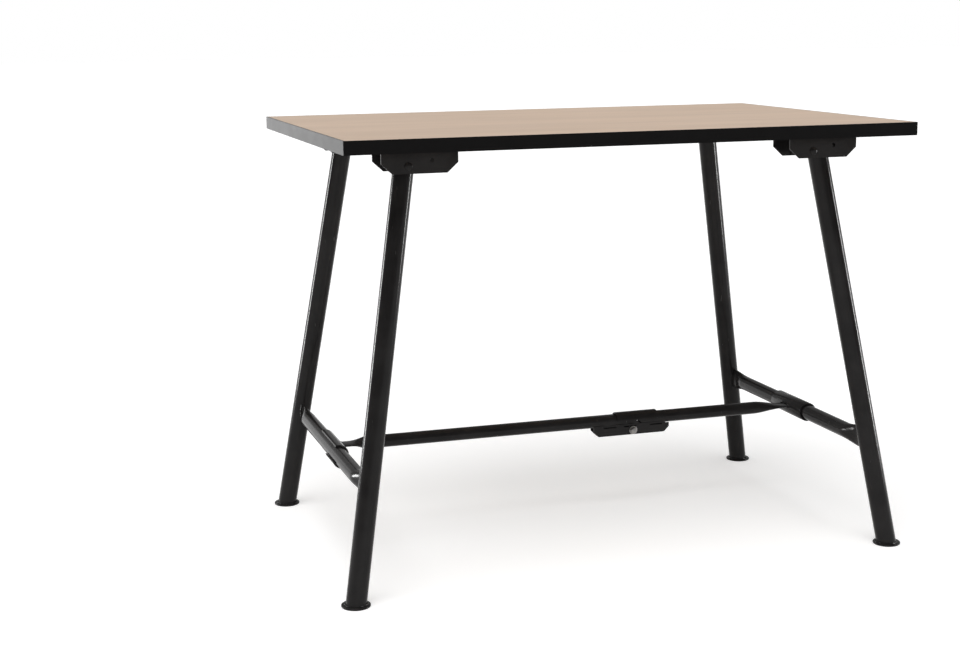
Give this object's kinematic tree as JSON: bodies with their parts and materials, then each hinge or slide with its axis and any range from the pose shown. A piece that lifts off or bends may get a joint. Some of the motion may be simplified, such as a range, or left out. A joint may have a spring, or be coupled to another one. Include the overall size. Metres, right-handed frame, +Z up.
{
  "type": "folding workbench",
  "caption": "Folding workbench: a plywood top with black edging on two hinged, splayed steel leg frames, held open by a braced and locked stretcher.",
  "frame": {"origin": "on the floor, under the middle of the bench", "axes": "+X along the bench to the end with the short brace half, +Y to the back, +Z up"},
  "size_m": [1.2366, 0.8, 0.91],
  "materials": {
    "plywood": "smooth faced plywood, warm tan above and pale below",
    "edging": "black edging strip with a soft gloss",
    "black_paint": "satin black powder coat on steel",
    "zinc": "bright zinc plated fasteners"
  },
  "bodies": {
    "bench_top": {"top_panel": "plywood", "front_edging": "edging", "back_edging": "edging", "left_edging": "edging", "right_edging": "edging", "left_front_bracket": "black_paint", "left_front_bracket_screw_1": "zinc", "left_front_bracket_screw_2": "zinc", "left_front_bracket_screw_3": "zinc", "left_front_bracket_screw_4": "zinc", "left_front_pivot_bolt": "black_paint", "left_front_pivot_nut": "black_paint", "left_back_bracket": "black_paint", "left_back_bracket_screw_1": "zinc", "left_back_bracket_screw_2": "zinc", "left_back_bracket_screw_3": "zinc", "left_back_bracket_screw_4": "zinc", "left_back_pivot_bolt": "black_paint", "left_back_pivot_nut": "black_paint", "right_front_bracket": "black_paint", "right_front_bracket_screw_1": "zinc", "right_front_bracket_screw_2": "zinc", "right_front_bracket_screw_3": "zinc", "right_front_bracket_screw_4": "zinc", "right_front_pivot_bolt": "black_paint", "right_front_pivot_nut": "black_paint", "right_back_bracket": "black_paint", "right_back_bracket_screw_1": "zinc", "right_back_bracket_screw_2": "zinc", "right_back_bracket_screw_3": "zinc", "right_back_bracket_screw_4": "zinc", "right_back_pivot_bolt": "black_paint", "right_back_pivot_nut": "black_paint"},
    "left_leg_frame": {"left_front_hinge_shoe": "black_paint", "left_front_leg": "black_paint", "left_front_foot": "black_paint", "left_back_hinge_shoe": "black_paint", "left_back_leg": "black_paint", "left_back_foot": "black_paint", "left_cross_bar": "black_paint"},
    "right_leg_frame": {"right_front_hinge_shoe": "black_paint", "right_front_leg": "black_paint", "right_front_foot": "black_paint", "right_back_hinge_shoe": "black_paint", "right_back_leg": "black_paint", "right_back_foot": "black_paint", "right_cross_bar": "black_paint"},
    "left_brace": {"left_brace_hook": "black_paint", "left_brace_tube": "black_paint", "brace_lock_cradle": "black_paint", "brace_lock_bolt": "zinc", "brace_lock_nut": "zinc"},
    "right_brace": {"right_brace_sleeve": "black_paint", "right_brace_tube": "black_paint", "brace_lock_saddle": "black_paint"}
  },
  "joints": [
    {"name": "left_leg_fold", "type": "hinge", "parent": "bench_top", "child": "left_leg_frame", "pos_m": [-0.45231, 0, 0.85], "axis": [0, -1, 0], "range_deg": [0, 97]},
    {"name": "left_brace_swing", "type": "hinge", "parent": "left_leg_frame", "child": "left_brace", "pos_m": [-0.55249, 0, 0.227], "axis": [0, 1, 0], "range_deg": [0, 272]},
    {"name": "right_leg_fold", "type": "hinge", "parent": "bench_top", "child": "right_leg_frame", "pos_m": [0.41466, 0, 0.85], "axis": [0, 1, 0], "range_deg": [0, 92]},
    {"name": "right_brace_swing", "type": "hinge", "parent": "right_leg_frame", "child": "right_brace", "pos_m": [0.55005, 0, 0.227], "axis": [0, 1, 0], "range_deg": [0, 88]}
  ],
  "couplings": [
    {"joint": "left_brace_swing", "follows": "left_leg_fold", "ratio": 2.8041},
    {"joint": "right_brace_swing", "follows": "right_leg_fold", "ratio": 0.9565}
  ]
}
